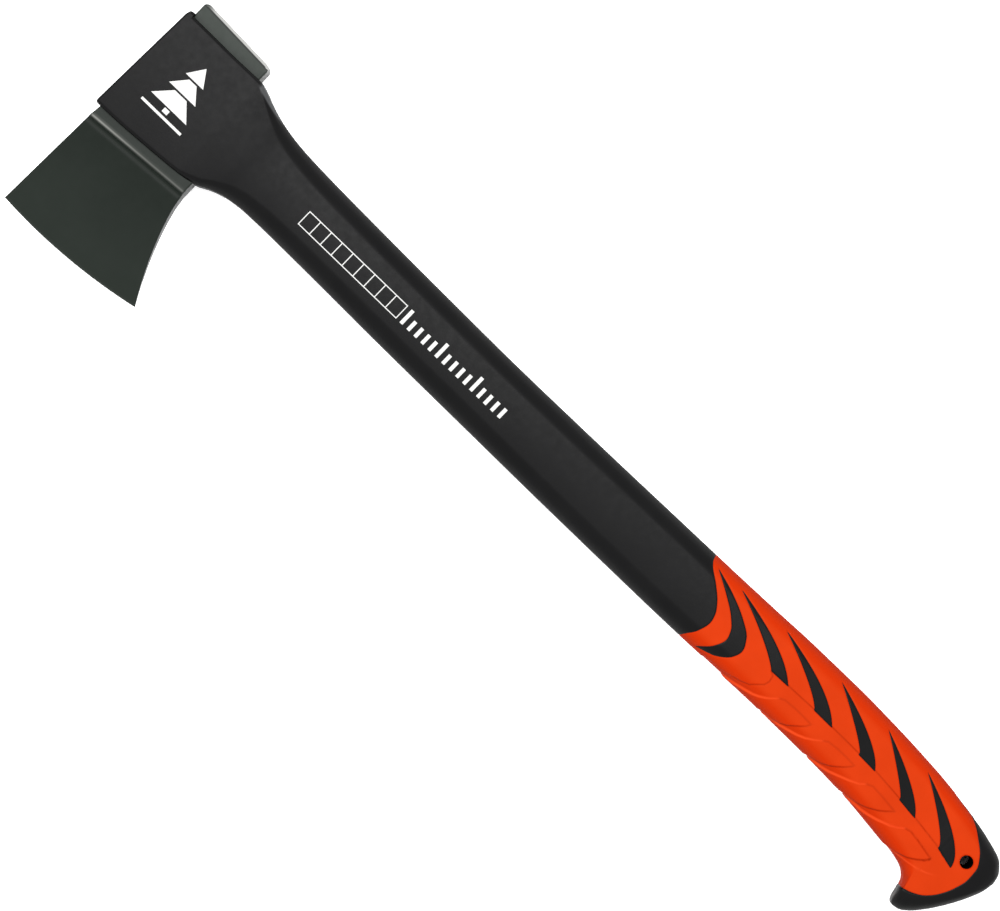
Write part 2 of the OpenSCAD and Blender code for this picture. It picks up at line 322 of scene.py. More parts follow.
def spaced(stops, steps):
    """Places from stop to stop, each stretch with its own step."""
    parts = [np.arange(a, b, s) for a, b, s in zip(stops[:-1], stops[1:], steps)]
    return np.append(np.concatenate(parts), stops[-1])


BUTT_END, SKIN_START, SKIN_END = -18.8, -9.6, 206
HAFT_Y = spaced([BUTT_END, SKIN_START, SKIN_END, REACH - 40, REACH + COLLAR_L - 5,
                 REACH + COLLAR_L], [0.3, 0.4, 2.0, 1.0, 0.1])
BUTT_CAPS, TOP_CAPS = 6, 10     # rings that fill the two end faces


def haft_points():
    p = rings(HAFT_Y)
    n = grid_normals(p)
    zone = HAFT_Y < SKIN_END
    land = np.full(p.shape[:2], REACH_OUT)
    land[zone] = land_depth(p[zone][..., 0], p[zone][..., 1])
    return p + n * own_side(land)[..., None]


GLINT_START, GLINT_END = -13, 10.5      # along the haft, from the foot of the collar
GLINT_SLIM, GLINT_WIDE, GLINT_GROWS = 0.5, 2.7, 20


def neck_painted_highlight(p):
    """A painted highlight: the strip along the neck's rear edge, coloured lighter as if it caught the
    light, wider towards the poll.
    """
    _, rear, half, _, _ = fair(ROWS, HAFT_Y).T
    x, y, z = p[..., 0], p[..., 1] - REACH, p[..., 2]
    grown = np.clip((y - GLINT_START) / GLINT_GROWS, 0, 1)
    width = GLINT_SLIM + (GLINT_WIDE - GLINT_SLIM) * grown
    across = smooth(0.5, -0.5, rear[:, None] - x - width)
    along = smooth(GLINT_START - 2, GLINT_START + 4, y) * smooth(GLINT_END, GLINT_END - 1.5, y)
    return across * along * smooth(half[:, None] - 7, half[:, None] - 4, np.abs(z))


def haft_shell(material):
    p = haft_points()
    painted_glint = neck_painted_highlight(p)
    tail = cap_rings(p[0], BUTT_CAPS)[::-1]
    head = cap_rings(p[-1], TOP_CAPS)
    p = np.concatenate([tail, p, head])
    painted_glint = np.pad(painted_glint, ((len(tail), len(head)), (0, 0)))
    m, n = p.shape[:2]
    quads = tube_faces(m, n)
    ends = [list(range(n)), [(m - 1) * n + i for i in range(n)][::-1]]
    flat = p.reshape(-1, 3) + (AXIS_X, 0, 0)
    obj = new_object("haft_shell", flat, quads.tolist() + ends, material)
    add_value(obj, "painted_glint", painted_glint)
    return obj


def grip_skin(material):
    ys = HAFT_Y[(HAFT_Y > SKIN_START - 0.1) & (HAFT_Y <= SKIN_END)]
    p = rings(ys)
    n = grid_normals(p)
    x, y = p[..., 0], p[..., 1]
    land = land_depth(x, y)
    relief, shade, shine = skin_relief(x, y)
    offset = own_side(-land) + relief + hole_roll(x, y)
    outer = p + n * offset[..., None]
    inner = p - n * SKIN_T
    m, k = p.shape[:2]
    points = np.concatenate([outer.reshape(-1, 3), inner.reshape(-1, 3)]) + (AXIS_X, 0, 0)
    quads = [tube_faces(m, k), tube_faces(m, k, m * k, flip=True)]
    i = np.arange(k)
    j = (i + 1) % k
    low = np.stack([i, j, m * k + j, m * k + i], -1)
    top = np.stack([i, m * k + i, m * k + j, j], -1) + (m - 1) * k
    faces = np.concatenate(quads + [low, top])
    obj = new_object("grip_skin", points, faces.tolist(), material)
    add_value(obj, "shade", np.concatenate([shade.ravel(), np.zeros(shade.size)]))
    add_value(obj, "shine", np.concatenate([shine.ravel(), np.zeros(shine.size)]))
    return obj


# The recessed finger panel: its upper arc, then the line that joins the flames, then the front
PANEL = [(-17.5, 153), (-16.7, 149.5), (-14.6, 144.6), (-11.7, 141.8), (-8.9, 139), (-6, 138.2),
         (-2.8, 138.9), (-1.2, 141.3), (-0.8, 129.8), (-0.3, 111), (-0.4, 98), (-0.6, 78),
         (-1.2, 66), (-2.8, 47), (-4.4, 35), (-7.0, 16), (-10.3, 3), (-14, -3), (-40, -3),
         (-40, 175), (-20.2, 172), (-19, 160)]
SEAM = PANEL[:17]
# Raised pads in the panel: the upper line from the front, the rear line to the tip, the lower line
PADS = [
    ([(-26, 161), (-20.6, 158), (-19.4, 151), (-17.8, 144.3), (-16.7, 140), (-15.3, 136.8),
      (-13.1, 133.2), (-10.6, 130.4), (-8.9, 128.6)],
     [(-7.4, 126), (-6.9, 120), (-6.8, 114), (-7.1, 107.3)],
     [(-9.6, 108.6), (-11.7, 110.7), (-14.2, 113.6), (-16, 115.7), (-18, 119.3), (-19.3, 124),
      (-20.1, 131.5), (-26, 133)]),
    ([(-26, 130), (-19.9, 129.5), (-18.6, 119), (-17.6, 115), (-16, 108.9), (-14.2, 104.6),
      (-11.7, 100.7), (-8.9, 97.1)],
     [(-7.2, 94.5), (-6.6, 89), (-6.5, 83), (-6.8, 76.4)],
     [(-8.1, 77), (-11, 79.6), (-13.9, 82.9), (-16, 85.7), (-18.2, 90), (-19.6, 95), (-20.4, 98.5),
      (-26, 99.5)]),
    ([(-26, 96.5), (-20.2, 96), (-19.2, 88.5), (-18.1, 83.6), (-16, 77.9), (-14.2, 73.2),
      (-11.7, 67.9), (-9.4, 65.4)],
     [(-7.8, 62), (-8.2, 55.7), (-9.4, 44.8)],
     [(-10.1, 45.7), (-12.5, 48.2), (-15, 51.4), (-17.9, 56.4), (-19.6, 61), (-20.8, 67),
      (-21.4, 72), (-27, 73)]),
    ([(-27, 69.5), (-21.2, 69), (-20.8, 58), (-20, 53.2), (-18.6, 47.9), (-16.4, 42.1),
      (-14.3, 38.2), (-11.8, 35)],
     [(-11, 31.5), (-11.8, 25.7), (-14, 14.4)],
     [(-15, 15), (-16.8, 16.4), (-19.3, 19.3), (-22.1, 23.6), (-24, 29), (-25.2, 36), (-25.5, 40),
      (-31, 41)]),
]
# The last line of the panel, under the fourth pad
LAST = [(-31, 37), (-25.4, 36), (-24.4, 26.4), (-23.7, 21.4), (-22.5, 15.7), (-21, 11.5),
        (-19, 7.5), (-16.5, 4)]
PANEL_DEPTH, SEAM_DEPTH, LINE_DEPTH, BEAD_RISE = 0.35, 0.25, 0.16, 0.15
PAD_REAR, PAD_FRONT = 0.12, 0.8     # how far the pads rise at their tips and at the front
ROLL_DEPTH, ROLL_W = 0.5, 0.9       # the rolled rim of the lanyard hole


def ridge_of(distance, width=0.38):
    """1 on a line, fading to 0 beside it."""
    return np.exp(-(distance / width)**2)


def skin_relief(x, y):
    """Offset of the skin by its relief, and where its fine lines are shaded or shine."""
    fade = smooth(0, 12, y)
    front = smooth(-7, -18, x)
    panel = inside_depth(x, y, np.array(PANEL, float))
    relief = -PANEL_DEPTH * (0.3 + 0.7 * front) * smooth(-0.4, 0.4, panel) * fade
    shade = ridge_of(line_distance(x, y, SEAM))
    shine = np.zeros(x.shape)
    relief -= SEAM_DEPTH * shade * fade
    for upper, rear, lower in PADS:
        depth = inside_depth(x, y, np.array(upper + rear + lower, float))
        rise = PAD_REAR + (PAD_FRONT - PAD_REAR) * front
        groove = ridge_of(line_distance(x, y, [upper[-1]] + rear + lower) - 0.15)
        bead = ridge_of(line_distance(x, y, upper))
        relief += rise * smooth(-0.45, 0.45, depth) + BEAD_RISE * bead - LINE_DEPTH * groove
        shade = np.maximum(shade, groove * (0.6 + 0.4 * front))
        shine = np.maximum(shine, bead * (0.5 + 0.5 * front))
    last = ridge_of(line_distance(x, y, LAST)) * smooth(4, 14, y)
    relief += BEAD_RISE * last
    shine = np.maximum(shine, last * 0.8)
    return relief * fade, shade * fade, shine * fade


def hole_roll(x, y):
    rim = np.hypot(x + AXIS_X, y) - LANYARD_R
    return -ROLL_DEPTH * (1 - np.clip(rim / ROLL_W, 0, 1))**2


def cut(obj, cutter, keep_cutter=False):
    """Takes the cutter's form out of obj for good."""
    step = obj.modifiers.new("cut", "BOOLEAN")
    step.operation, step.solver, step.object = "DIFFERENCE", "MANIFOLD", cutter
    step.material_mode = "TRANSFER"
    dg = bpy.context.evaluated_depsgraph_get()
    mesh = bpy.data.meshes.new_from_object(obj.evaluated_get(dg), depsgraph=dg)
    obj.modifiers.clear()
    obj.data = mesh
    if not keep_cutter:
        bpy.data.objects.remove(cutter)


def lanyard_cutter(wall_material):
    """A round bar through the hole; what it cuts takes its material."""
    n, long_z = 96, 20.0
    a = np.linspace(0, 2 * math.pi, n, endpoint=False)
    ring = np.stack([np.cos(a), np.sin(a)], -1) * LANYARD_R
    low = np.column_stack([ring, np.full(n, -long_z)])
    high = np.column_stack([ring, np.full(n, long_z)])
    i = np.arange(n)
    sides = np.stack([i, (i + 1) % n, n + (i + 1) % n, n + i], -1)
    faces = sides.tolist() + [list(range(n))[::-1], list(range(n, 2 * n))]
    mesh = bpy.data.meshes.new("lanyard_cutter")
    mesh.from_pydata(np.concatenate([low, high]) * MM, [], faces)
    mesh.materials.append(wall_material)
    cutter = bpy.data.objects.new("lanyard_cutter", mesh)
    bpy.context.scene.collection.objects.link(cutter)
    return cutter


# ---------------------------------------------------------------- printed marks

INK_RISE, INK_ROOT = 0.06, 0.3      # how far the ink stands over the face and reaches under it
MARK_W = 9.2                        # width of the scale across the shaft
SCALE_AT = (-2.8, REACH - 53.4)     # its corner nearest the poll
FIR_AT = (0, REACH + 36)            # the fir's place on the collar
LADDER_STEPS, LADDER_PITCH = 9, 7.8
TICKS, TICK_PITCH, TICK_T, TICK_SHORT, TICK_START = 15, 5, 2, 6, 74


def face_height(x, y):
    """Height of the haft's crowned +Z face at each place."""
    front, rear, half, _, _ = fair(ROWS, y).T
    return half - crown_drop(x - AXIS_X, y, (rear - front) / 2)


def prism(outline):
    """A thin closed slab of ink on the +Z face, whose outline runs counter-clockwise."""
    n = len(outline)
    outline = np.array(outline, float)
    z = face_height(outline[:, 0], outline[:, 1])
    low = np.column_stack([outline, z - INK_ROOT])
    high = np.column_stack([outline, z + INK_RISE])
    faces = [[i, (i + 1) % n, n + (i + 1) % n, n + i] for i in range(n)]
    return np.concatenate([low, high]), faces + [list(range(n))[::-1], list(range(n, 2 * n))]


def bar(x, y, long_x, long_y):
    """A rectangle round (x, y)."""
    a, b = long_x / 2, long_y / 2
    return [(x - a, y - b), (x + a, y - b), (x + a, y + b), (x - a, y + b)]


def conifer(x, y):
    """A plain fir whose top points to the poll: three tiers, a trunk and the ground."""
    tiers = [(22, 0, 13, 6.2), (11.9, 2.6, 3.9, 9.4), (2.8, 4.2, -6.2, 12.6)]
    shapes = [[(x + foot, y + half), (x + foot, y - half), (x + top, y - neck), (x + top, y + neck)]
              for top, neck, foot, half in tiers]
    shapes[0].pop()
    return shapes + [bar(x - 8.4, y, 2.6, 3.4), bar(x - 11.8, y, 1.4, 28)]


def ladder(x, y, steps, pitch, wide, line=0.5):
    """Two thin rails with a rung at every step."""
    run = steps * pitch
    rails = [bar(x + side * (wide - line) / 2, y - run / 2, line, run + line) for side in (-1, 1)]
    return rails + [bar(x, y - k * pitch, wide - 2 * line, line) for k in range(steps + 1)]


def gauge(x, y):
    """A plain scale along the haft: open steps first, then measuring ticks."""
    shapes = ladder(x + MARK_W / 2, y, LADDER_STEPS, LADDER_PITCH, MARK_W)
    for k in range(TICKS):
        length = MARK_W if k % 5 == 0 else TICK_SHORT
        shapes.append(bar(x + length / 2, y - TICK_START - TICK_PITCH * k, length, TICK_T))
    return shapes


def print_marks(material):
    points, faces = [], []
    for outline in gauge(*SCALE_AT) + conifer(*FIR_AT):
        p, f = prism(outline)
        faces += [[i + sum(len(q) for q in points) for i in face] for face in f]
        points.append(p)
    return new_object("print_marks", np.concatenate(points), faces, material, sharp=30)


# ---------------------------------------------------------------- the head

EDGE_X, EDGE_R = 101.85, 331.0          # the cutting edge: its foremost place and its radius
EDGE_Y = REACH + 44.4
EYE_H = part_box("axe_head")[1].z / MM    # half thicknesses: eye block, cheek, top of the bevel, edge
CHEEK_H, BEVEL_H, TIP_H = 9.5, 1.6, 0.15
BEVEL_W = 7.0
STEP_X, STEP_Y, STEP_LEAN = 36.5, REACH + 34.8, math.radians(3.7)
POLL_LEAN = math.radians(2.6)
POLL_CUT, POLL_R = 1.6, 3.0             # the poll's chamfer and its round corners
RIM = 0.8                               # rounding of the head's other edges
HEAD_FOOT = np.vstack([
    curve([(-95, -21.6), (-84, -15.7), (-66.6, -8), (-51.8, -2.9), (-42, -0.5), (-34, 0.4),
           (-28, 0.5)]),
    [(28, 5), (33, 12.8), (60, 12.8)]]) + (0, REACH)
HEAD_TOP = np.array([(-110, 67.2), (-40, 63.8), (-33, 62.9), (34, 60.4), (60, 60.4)]) + (0, REACH)
# Half thickness against the distance from the step between the cheek and the eye block
STEP_PROFILE = np.array([
    (STEP_X + BEVEL_W - EDGE_X, BEVEL_H), (-5, CHEEK_H), (-3.2, CHEEK_H), (-2, CHEEK_H + 0.5),
    (-1.2, EYE_H - 0.9), (-0.4, EYE_H - 0.15), (0.6, EYE_H), (90, EYE_H)])


def foot_y(x):
    return np.interp(x, HEAD_FOOT[:, 0], HEAD_FOOT[:, 1])


def top_y(x):
    return np.interp(x, HEAD_TOP[:, 0], HEAD_TOP[:, 1])


def edge_rail(inset):
    """x as a function of y along the cutting edge, or this far behind it."""
    return lambda y: EDGE_R - EDGE_X - np.sqrt((EDGE_R - inset)**2 - (y - EDGE_Y)**2)


def step_rail(offset):
    """The same along the step between cheek and eye block."""
    return lambda y: -STEP_X + offset / math.cos(STEP_LEAN) - (y - STEP_Y) * math.tan(STEP_LEAN)


def poll_rail(inset):
    """The same along the poll."""
    at = POLL_X - inset / math.cos(POLL_LEAN)
    return lambda y: at + (y - REACH - POLL_UP) * math.tan(POLL_LEAN)


def rail_points(rail, v):
    """Points on a rail from the head's underside (v = 0) to its top (v = 1)."""
    low, high = REACH, REACH + 60.0
    for _ in range(20):     # settles on the two outlines
        low, high = foot_y(rail(low)), top_y(rail(high))
    y = low + (high - low) * v
    return np.stack([rail(y), y], -1)


def head_plan():
    """The head's net seen from the side: lines along the edge, the step and the poll."""
    rim = np.array([0, 0.1, 0.25, 0.45, 0.8, 1.4]) / 65
    v = np.concatenate([rim, np.linspace(0.03, 0.97, 90), 1 - rim[::-1]])
    rails = [(edge_rail(0), 3), (edge_rail(0.6), 8), (edge_rail(BEVEL_W), 60), (step_rail(-6), 4),
             (step_rail(-3.2), 4), (step_rail(-2), 3), (step_rail(-1.2), 3), (step_rail(-0.4), 3),
             (step_rail(0.6), 60), (poll_rail(4), 8), (poll_rail(POLL_CUT), 6), (poll_rail(0), 0)]
    ends = [rail_points(r, v) for r, _ in rails]
    lines = []
    for k, (_, n) in enumerate(rails[:-1]):
        lines += [ends[k] + (ends[k + 1] - ends[k]) * s for s in np.arange(n) / n]
    p = np.array(lines + [ends[-1]])
    low = foot_y(p[:, 0, 0]) - p[:, 0, 1]
    high = top_y(p[:, -1, 0]) - p[:, -1, 1]
    p[..., 1] += low[:, None] * (1 - v) + high[:, None] * v
    return p


def foot_side(p):
    """Distance from the underside of the head."""
    x, y = p[..., 0], p[..., 1]
    at = np.linspace(-110, 60, 341)
    tilt = np.cos(np.arctan(np.interp(x, at, np.gradient(foot_y(at), at))))
    return np.maximum((y - foot_y(x)) * tilt, 0)


def top_side(p):
    return np.maximum(top_y(p[..., 0]) - p[..., 1], 0)


def head_distances(p):
    """Distances from underside, top, poll, step (negative on the cheek) and cutting edge."""
    x, y = p[..., 0], p[..., 1]
    foot, top = foot_side(p), top_side(p)
    poll = np.maximum((poll_rail(0)(y) - x) * math.cos(POLL_LEAN), 0)
    step = (x - step_rail(0)(y)) * math.cos(STEP_LEAN)
    edge = EDGE_R - np.hypot(x - EDGE_R + EDGE_X, y - EDGE_Y)
    return foot, top, poll, step, np.maximum(edge, 0)


def corner_round(p):
    """Moves the net near the poll's two corners on to a round corner."""
    foot, top, poll, _, _ = head_distances(p)
    out = p.copy()
    for b, up in ((foot, -1.0), (top, 1.0)):
        here = (poll < POLL_R) & (b < POLL_R)
        a1, b1 = POLL_R - poll[here], POLL_R - b[here]
        scale = np.maximum(a1, b1) / np.maximum(np.hypot(a1, b1), 1e-9)
        da, db = a1 * (1 - scale), b1 * (1 - scale)
        out[here, 0] -= da
        out[here, 1] -= up * db
    return out


def head_half(p, q):
    """Half thickness over the head. p is the net before the corners are rounded, q after."""
    foot, top, poll, step, edge = head_distances(q)
    f0, t0, p0, _, _ = head_distances(p)
    half = np.interp(step, STEP_PROFILE[:, 0], STEP_PROFILE[:, 1])
    half = np.minimum(half, TIP_H + edge * (BEVEL_H - TIP_H) / BEVEL_W)
    side = np.minimum(f0, t0)
    half = half - np.maximum(POLL_CUT - p0, 0)
    r = np.minimum(RIM, 0.6 * half) * smooth(2, 4, p0)
    drop = r - np.sqrt(np.maximum(r**2 - np.maximum(r - side, 0)**2, 0))
    return half - drop, edge, step, p0


WALL_N = 6              # bands round the head's narrow sides


def net_border(m, n):
    """Indices once round the border of a net of m by n points."""
    return np.concatenate([np.arange(m - 1) * n, (m - 1) * n + np.arange(n - 1),
                           (m - 1 - np.arange(m - 1)) * n + n - 1, n - 1 - np.arange(n - 1)])


def head_mesh(q, half):
    """Points and faces of the two wide faces of the head and of the walls between them."""
    m, n = half.shape
    up = np.concatenate([q, half[..., None]], -1).reshape(-1, 3)
    down = np.concatenate([q, -half[..., None]], -1).reshape(-1, 3)
    k, i = np.meshgrid(np.arange(m - 1), np.arange(n - 1), indexing="ij")
    a = k * n + i
    quads = np.stack([a, a + n, a + n + 1, a + 1], -1).reshape(-1, 4)
    loop = net_border(m, n)
    c = len(loop)
    levels = [up[loop] + (down[loop] - up[loop]) * s for s in np.arange(1, WALL_N) / WALL_N]
    bands = [2 * m * n + j * c + np.arange(c) for j in range(WALL_N - 1)]
    index = [loop] + bands + [loop + m * n]
    walls = [np.stack([hi, lo, np.roll(lo, -1), np.roll(hi, -1)], -1)
             for hi, lo in zip(index[:-1], index[1:])]
    faces = np.concatenate([quads, quads[:, ::-1] + m * n] + walls)
    return np.concatenate([up, down] + levels), faces, c * (WALL_N - 1)


def head_looks(q, step, edge, rim):
    """Where the steel is bare, dark, ground or lighter by a gradient, with a painted highlight along
    the step and painted sheen on the eye block and poll.
    """
    y = q[..., 1] - REACH
    inner = smooth(0.2, 1.2, np.minimum(foot_side(q), top_side(q)))
    # painted highlight along the step, and a faint one 3.3 mm in front of it
    painted_step_highlight = np.exp(-((step + 0.1) / 0.6)**2) * (0.45 + 0.55 * smooth(20, 60, y)) * inner
    painted_foot_highlight = 0.06 * np.exp(-((step + 3.3) / 0.35)**2)
    return {
        "bare": smooth(60, 52, y) * (1 - smooth(POLL_CUT - 0.25, POLL_CUT + 0.05, rim)),
        "dark": np.exp(-((rim - POLL_CUT - 0.35) / 0.4)**2),
        "painted_step_highlight": painted_step_highlight + painted_foot_highlight,
        "ground": 1 - smooth(0.5, 1.6, edge),
        "sweep": smooth(0, -66, step),
        "painted_sheen": smooth(-0.5, 0.5, step) * (0.35 + 0.65 * smooth(66, 76, step)),
    }


def head_forging(material):
    p = head_plan()
    q = corner_round(p)
    half, edge, step, rim = head_half(p, q)
    points, faces, wall_points = head_mesh(q, half)
    obj = new_object("head_forging", points + (AXIS_X, 0, 0), faces.tolist(), material, sharp=28)
    for name, values in head_looks(q, step, edge, rim).items():
        flat = values.ravel()
        add_value(obj, name, np.concatenate([flat, flat, np.zeros(wall_points)]))
    return obj


# ---------------------------------------------------------------- materials


def srgb(r, g, b):
    def linear(c):
        c /= 255
        return c / 12.92 if c <= 0.04045 else ((c + 0.055) / 1.055)**2.4
    return (linear(r), linear(g), linear(b), 1.0)


class Nodes:
    """A short way to write a node material."""

    def __init__(self, name):
        self.material = bpy.data.materials.new(name)
        self.material.use_nodes = True
        self.tree = self.material.node_tree
        self.shader = self.tree.nodes["Principled BSDF"]
        self.place = self.add("ShaderNodeTexCoord").outputs["Object"]

    def add(self, kind, **settings):
        node = self.tree.nodes.new(kind)
        for key, value in settings.items():
            setattr(node, key, value)
        return node

    def link(self, source, target):
        if isinstance(source, (int, float, tuple)):
            target.default_value = source
        else:
            self.tree.links.new(source, target)

    def noise(self, scale, detail=3.0, stretch=None):
        node = self.add("ShaderNodeTexNoise")
        node.inputs["Scale"].default_value = scale
        node.inputs["Detail"].default_value = detail
        place = self.place
        if stretch:
            mapping = self.add("ShaderNodeMapping")
            mapping.inputs["Scale"].default_value = stretch
            self.link(place, mapping.inputs["Vector"])
            place = mapping.outputs["Vector"]
        self.link(place, node.inputs["Vector"])
        return node.outputs["Fac"]

    def ramp(self, source, lo, hi, a=0.0, b=1.0):
        node = self.add("ShaderNodeMapRange")
        for key, value in (("From Min", lo), ("From Max", hi), ("To Min", a), ("To Max", b)):
            node.inputs[key].default_value = value
        self.link(source, node.inputs["Value"])
        return node.outputs["Result"]

    def mix(self, factor, a, b):
        node = self.add("ShaderNodeMix", data_type="RGBA")
        self.link(factor, node.inputs["Factor"])
        self.link(a, node.inputs[6])
        self.link(b, node.inputs[7])
        return node.outputs[2]

    def math(self, operation, a, b=0.0):
        node = self.add("ShaderNodeMath", operation=operation)
        self.link(a, node.inputs[0])
        self.link(b, node.inputs[1])
        return node.outputs["Value"]

    def value(self, name):
        return self.add("ShaderNodeAttribute", attribute_name=name).outputs["Fac"]

    def edges(self):
        """1 on outward edges, 0 on flat faces."""
        return self.ramp(self.add("ShaderNodeNewGeometry").outputs["Pointiness"], 0.52, 0.6)

    def flank(self, near, far):
        """0 where the face lies flatter than near, 1 where it stands steeper than far."""
        split = self.add("ShaderNodeSeparateXYZ")
        self.link(self.add("ShaderNodeNewGeometry").outputs["Normal"], split.inputs[0])
        return self.ramp(self.math("ABSOLUTE", split.outputs["Z"]), near, far)

    def bump(self, height, strength, distance, normal=None):
        node = self.add("ShaderNodeBump")
        node.inputs["Strength"].default_value = strength
        node.inputs["Distance"].default_value = distance
        self.link(height, node.inputs["Height"])
        if normal:
            self.link(normal, node.inputs["Normal"])
        return node.outputs["Normal"]

    def finish(self, color, rough, normal=None, metallic=0.0, specular=0.5):
        self.link(color, self.shader.inputs["Base Color"])
        self.link(rough, self.shader.inputs["Roughness"])
        self.link(metallic, self.shader.inputs["Metallic"])
        self.link(specular, self.shader.inputs["Specular IOR Level"])
        if normal:
            self.link(normal, self.shader.inputs["Normal"])
        return self.material


def nylon_material():
    """Black nylon, with painted shade where it turns away from above: darker in colour and duller
    there.
    """
    m = Nodes("haft_nylon")
    cloud = m.noise(45, 4)
    fine = m.noise(2200, 2)
    color = m.mix(m.ramp(cloud, 0.35, 0.65), srgb(7.5, 7.5, 8), srgb(9.5, 9.5, 10))
    color = m.mix(m.math("MULTIPLY", m.edges(), 0.2), color, srgb(34, 34, 34))
    # painted shade: darker colour and less gloss where the haft turns away from above
    wall = m.flank(0.7, 0.35)
    color = m.mix(wall, color, srgb(3, 3, 3))
    # painted highlight: the neck's rear edge is coloured lighter
    color = m.mix(m.value("painted_glint"), color, srgb(56, 57, 58))
    rough = m.ramp(m.noise(300, 3), 0.3, 0.7, 0.3, 0.38)
    normal = m.bump(m.noise(700, 3), 0.1, 0.0001, m.bump(fine, 0.2, 0.00004))
    gloss = m.ramp(wall, 0, 1, 0.064, 0.015)
    return m.finish(color, rough, normal, specular=gloss)


def bore_material():
    """The dark, rough wall of the lanyard hole."""
    m = Nodes("lanyard_bore")
    return m.finish(srgb(20, 14, 14), m.ramp(m.noise(900, 2), 0.3, 0.7, 0.8, 0.9), specular=0.0)


def rubber_material():
    """Orange rubber, with painted shade deepening its colour towards its sides, painted shade in its
    grooves and painted highlights on its beads.
    """
    m = Nodes("grip_rubber")
    cloud = m.noise(60, 4)
    color = m.mix(m.ramp(cloud, 0.35, 0.65), srgb(156, 40.5, 6), srgb(161, 42.5, 7))
    # painted shade: deeper orange where the skin turns towards its sides
    color = m.mix(m.flank(0.99, 0.88), color, srgb(154, 34, 1))
    color = m.mix(m.flank(0.85, 0.45), color, srgb(132, 29, 2))
    color = m.mix(m.math("MULTIPLY", m.edges(), 0.2), color, srgb(180, 56, 22))
    # painted shade in the grooves, then painted highlights on the beads
    color = m.mix(m.math("MULTIPLY", m.value("shade"), 0.35), color, srgb(90, 18, 3))
    color = m.mix(m.math("MULTIPLY", m.value("shine"), 0.45), color, srgb(196, 67, 30))
    rough = m.ramp(m.noise(400, 3), 0.3, 0.7, 0.55, 0.66)
    normal = m.bump(m.noise(1500, 3), 0.35, 0.0001)
    return m.finish(color, rough, normal, specular=0.02)


def steel_material():
    """Grey-green coated steel, bare at the poll's chamfer."""
    m = Nodes("head_steel")
    cloud = m.noise(30, 5)
    color = m.mix(m.ramp(cloud, 0.35, 0.65), srgb(14.5, 19.5, 15.5), srgb(17.5, 22.5, 18.5))
    color = m.mix(m.math("MULTIPLY", m.value("sweep"), 0.3), color, srgb(34, 39, 35))
    # painted sheen: the eye block, and the poll more, are coloured lighter
    color = m.mix(m.math("MULTIPLY", m.value("painted_sheen"), 0.5), color, srgb(50, 55, 51))
    streak = m.noise(900, 3, stretch=(0.06, 1.0, 1.0))
    color = m.mix(m.math("MULTIPLY", m.value("ground"), 0.3), color, srgb(42, 46, 42))
    # painted highlight along the step
    color = m.mix(m.math("MULTIPLY", m.value("painted_step_highlight"), 0.5), color, srgb(140, 140, 136))
    color = m.mix(m.math("MULTIPLY", m.value("dark"), 0.85), color, srgb(6, 7, 6))
    bare = m.value("bare")
    color = m.mix(bare, color, srgb(142, 142, 140))
    rough = m.ramp(m.noise(250, 4), 0.3, 0.7, 0.28, 0.36)
    normal = m.bump(streak, 0.06, 0.0001, m.bump(m.noise(1200, 3), 0.12, 0.00005))
    return m.finish(color, rough, normal, metallic=m.math("MULTIPLY", bare, 0.5), specular=0.082)


def core_material():
    m = Nodes("core_glass_fibre")
    strands = m.noise(2500, 4, stretch=(1.0, 0.02, 1.0))
    color = m.mix(m.ramp(strands, 0.3, 0.7), srgb(196, 188, 158), srgb(222, 214, 190))
    normal = m.bump(strands, 0.4, 0.0001)
    return m.finish(color, m.ramp(strands, 0.3, 0.7, 0.4, 0.55), normal)


def ink_material():
    m = Nodes("print_ink")
    wear = m.ramp(m.noise(900, 4), 0.3, 0.7)
    color = m.mix(wear, srgb(168, 168, 166), srgb(178, 178, 176))
    return m.finish(color, m.ramp(wear, 0, 1, 0.5, 0.6), m.bump(wear, 0.2, 0.00005))


FLOOR_Y = 0.3                           # the floor's own origin along the haft, in metres
FLOOR_LIFT = 0.4                        # painted light: the floor glows this much for camera rays only, so its shadows are faint
UNDER_HOLE = (0, -FLOOR_Y, -0.0147)     # a painted shadow on the floor here, unseen, so the hole looks deep
DARK_IN, DARK_OUT = 0.005, 0.007        # radii between which the dark disc fades
FLOOR_R, FLOOR_N, FLOOR_GAP = 6000, 128, 0.02


def floor_material():
    m = Nodes("stage_floor")
    tone = m.ramp(m.noise(3, 2), 0.3, 0.7)
    color = m.mix(tone, (0.96, 0.96, 0.96, 1), (0.98, 0.98, 0.98, 1))
    span = m.add("ShaderNodeVectorMath", operation="DISTANCE")
    m.link(m.place, span.inputs[0])
    m.link(UNDER_HOLE, span.inputs[1])
    clear = m.ramp(span.outputs["Value"], DARK_IN, DARK_OUT)
    # painted shadow: the floor is dark under the lanyard hole
    color = m.mix(clear, (0.3, 0.3, 0.3, 1), color)
    # painted light: a glow seen only by the camera, off over the dark disc
    seen = m.math("MULTIPLY", m.add("ShaderNodeLightPath").outputs["Is Camera Ray"], clear)
    m.link((1, 1, 1, 1), m.shader.inputs["Emission Color"])
    m.link(m.math("MULTIPLY", seen, FLOOR_LIFT), m.shader.inputs["Emission Strength"])
    return m.finish(color, 0.7, specular=0.2)


# ---------------------------------------------------------------- stage, light and camera

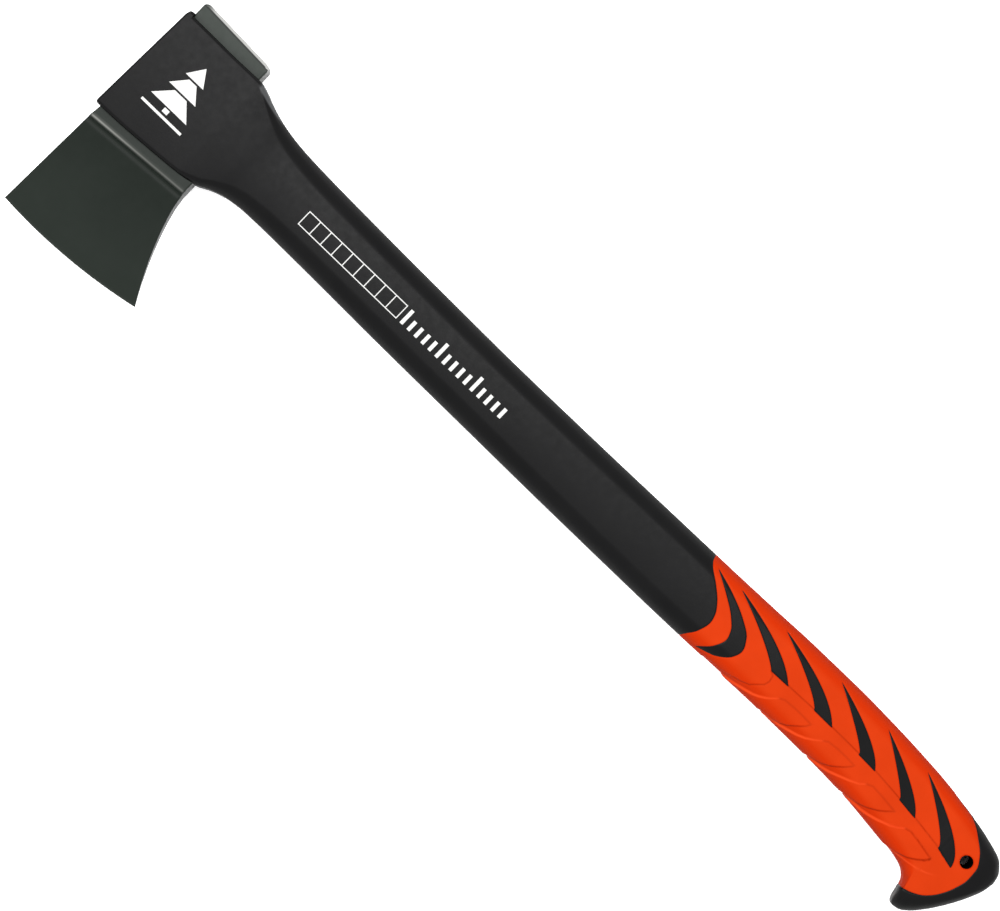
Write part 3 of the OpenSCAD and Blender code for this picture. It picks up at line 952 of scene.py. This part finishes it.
def make_floor():
    """A wide plain disc that touches the underside of the collar and of the palm swell."""
    collar_y, palm_y = REACH + 11, 118.0
    tilt = (COLLAR_H - SWELL_H) / (collar_y - palm_y)
    a = np.linspace(0, 2 * math.pi, FLOOR_N, endpoint=False)
    ring = np.stack([np.cos(a), np.sin(a), 0 * a], -1) * FLOOR_R
    ring[:, 2] = -COLLAR_H - FLOOR_GAP + tilt * (collar_y - FLOOR_Y / MM - ring[:, 1])
    mesh = bpy.data.meshes.new("floor")
    mesh.from_pydata(ring * MM, [], [list(range(FLOOR_N))])
    mesh.materials.append(floor_material())
    floor = bpy.data.objects.new("floor", mesh)
    floor.location = (0, FLOOR_Y, 0)
    bpy.context.scene.collection.objects.link(floor)


def area_light(name, place, aim, size, power):
    light = bpy.data.lights.new(name, "AREA")
    light.shape = "RECTANGLE"
    light.size, light.size_y = size
    light.energy = power
    obj = bpy.data.objects.new(name, light)
    obj.location = place
    obj.rotation_euler = (Vector(aim) - Vector(place)).to_track_quat("-Z", "Y").to_euler()
    obj.visible_camera = False
    bpy.context.scene.collection.objects.link(obj)


def make_world(strength):
    world = bpy.data.worlds.new("studio")
    world.use_nodes = True
    world.node_tree.nodes["Background"].inputs["Color"].default_value = (1, 1, 1, 1)
    world.node_tree.nodes["Background"].inputs["Strength"].default_value = strength
    bpy.context.scene.world = world


CAMERA_AT = (-0.01631, 0.31963, 2.5)
CAMERA_RIGHT = (0.6947, -0.7193, 0)
CAMERA_UP = (0.7193, 0.6947, 0)
CAMERA_LENS = 18 / 0.104                # half the sensor over half the view's width at one metre
LIGHT_AT, LIGHT_AIM, LIGHT_SIZE, LIGHT_POWER = (0.25, 1.2, 1.7), (0.25, 1.2, 0), (0.5, 2.0), 34
WORLD_STRENGTH = 1.75


def make_camera():
    data = bpy.data.cameras.new("camera")
    data.sensor_fit = "HORIZONTAL"
    data.sensor_width = 36
    data.lens = CAMERA_LENS
    camera = bpy.data.objects.new("camera", data)
    turn = Matrix((CAMERA_RIGHT, CAMERA_UP, (0, 0, 1))).transposed()
    camera.matrix_world = Matrix.Translation(CAMERA_AT) @ turn.to_4x4()
    bpy.context.scene.collection.objects.link(camera)
    bpy.context.scene.camera = camera


def place_piece(obj, slot, *nodes):
    """Fixes a piece to the one body and hides the CAD nodes it stands for; the slot is not used."""
    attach(obj, "root")
    if nodes:
        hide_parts(*nodes)


def build():
    nylon, rubber, steel = nylon_material(), rubber_material(), steel_material()
    haft, grip, head = haft_shell(nylon), grip_skin(rubber), head_forging(steel)
    cut(haft, lanyard_cutter(bore_material()))
    cut(grip, lanyard_cutter(rubber))
    cut(haft, head, keep_cutter=True)
    place_piece(haft, "haft_nylon", "haft")
    place_piece(grip, "grip_rubber", "grip")
    place_piece(head, "head_steel", "axe_head")
    place_piece(print_marks(ink_material()), "haft_nylon")
    core = frame["nodes"]["fibre_core"]
    core.data.materials.clear()
    core.data.materials.append(core_material())
    make_floor()
    make_world(WORLD_STRENGTH)
    area_light("key", LIGHT_AT, LIGHT_AIM, LIGHT_SIZE, LIGHT_POWER)
    make_camera()
    bpy.context.scene.view_settings.view_transform = "Standard"


build()
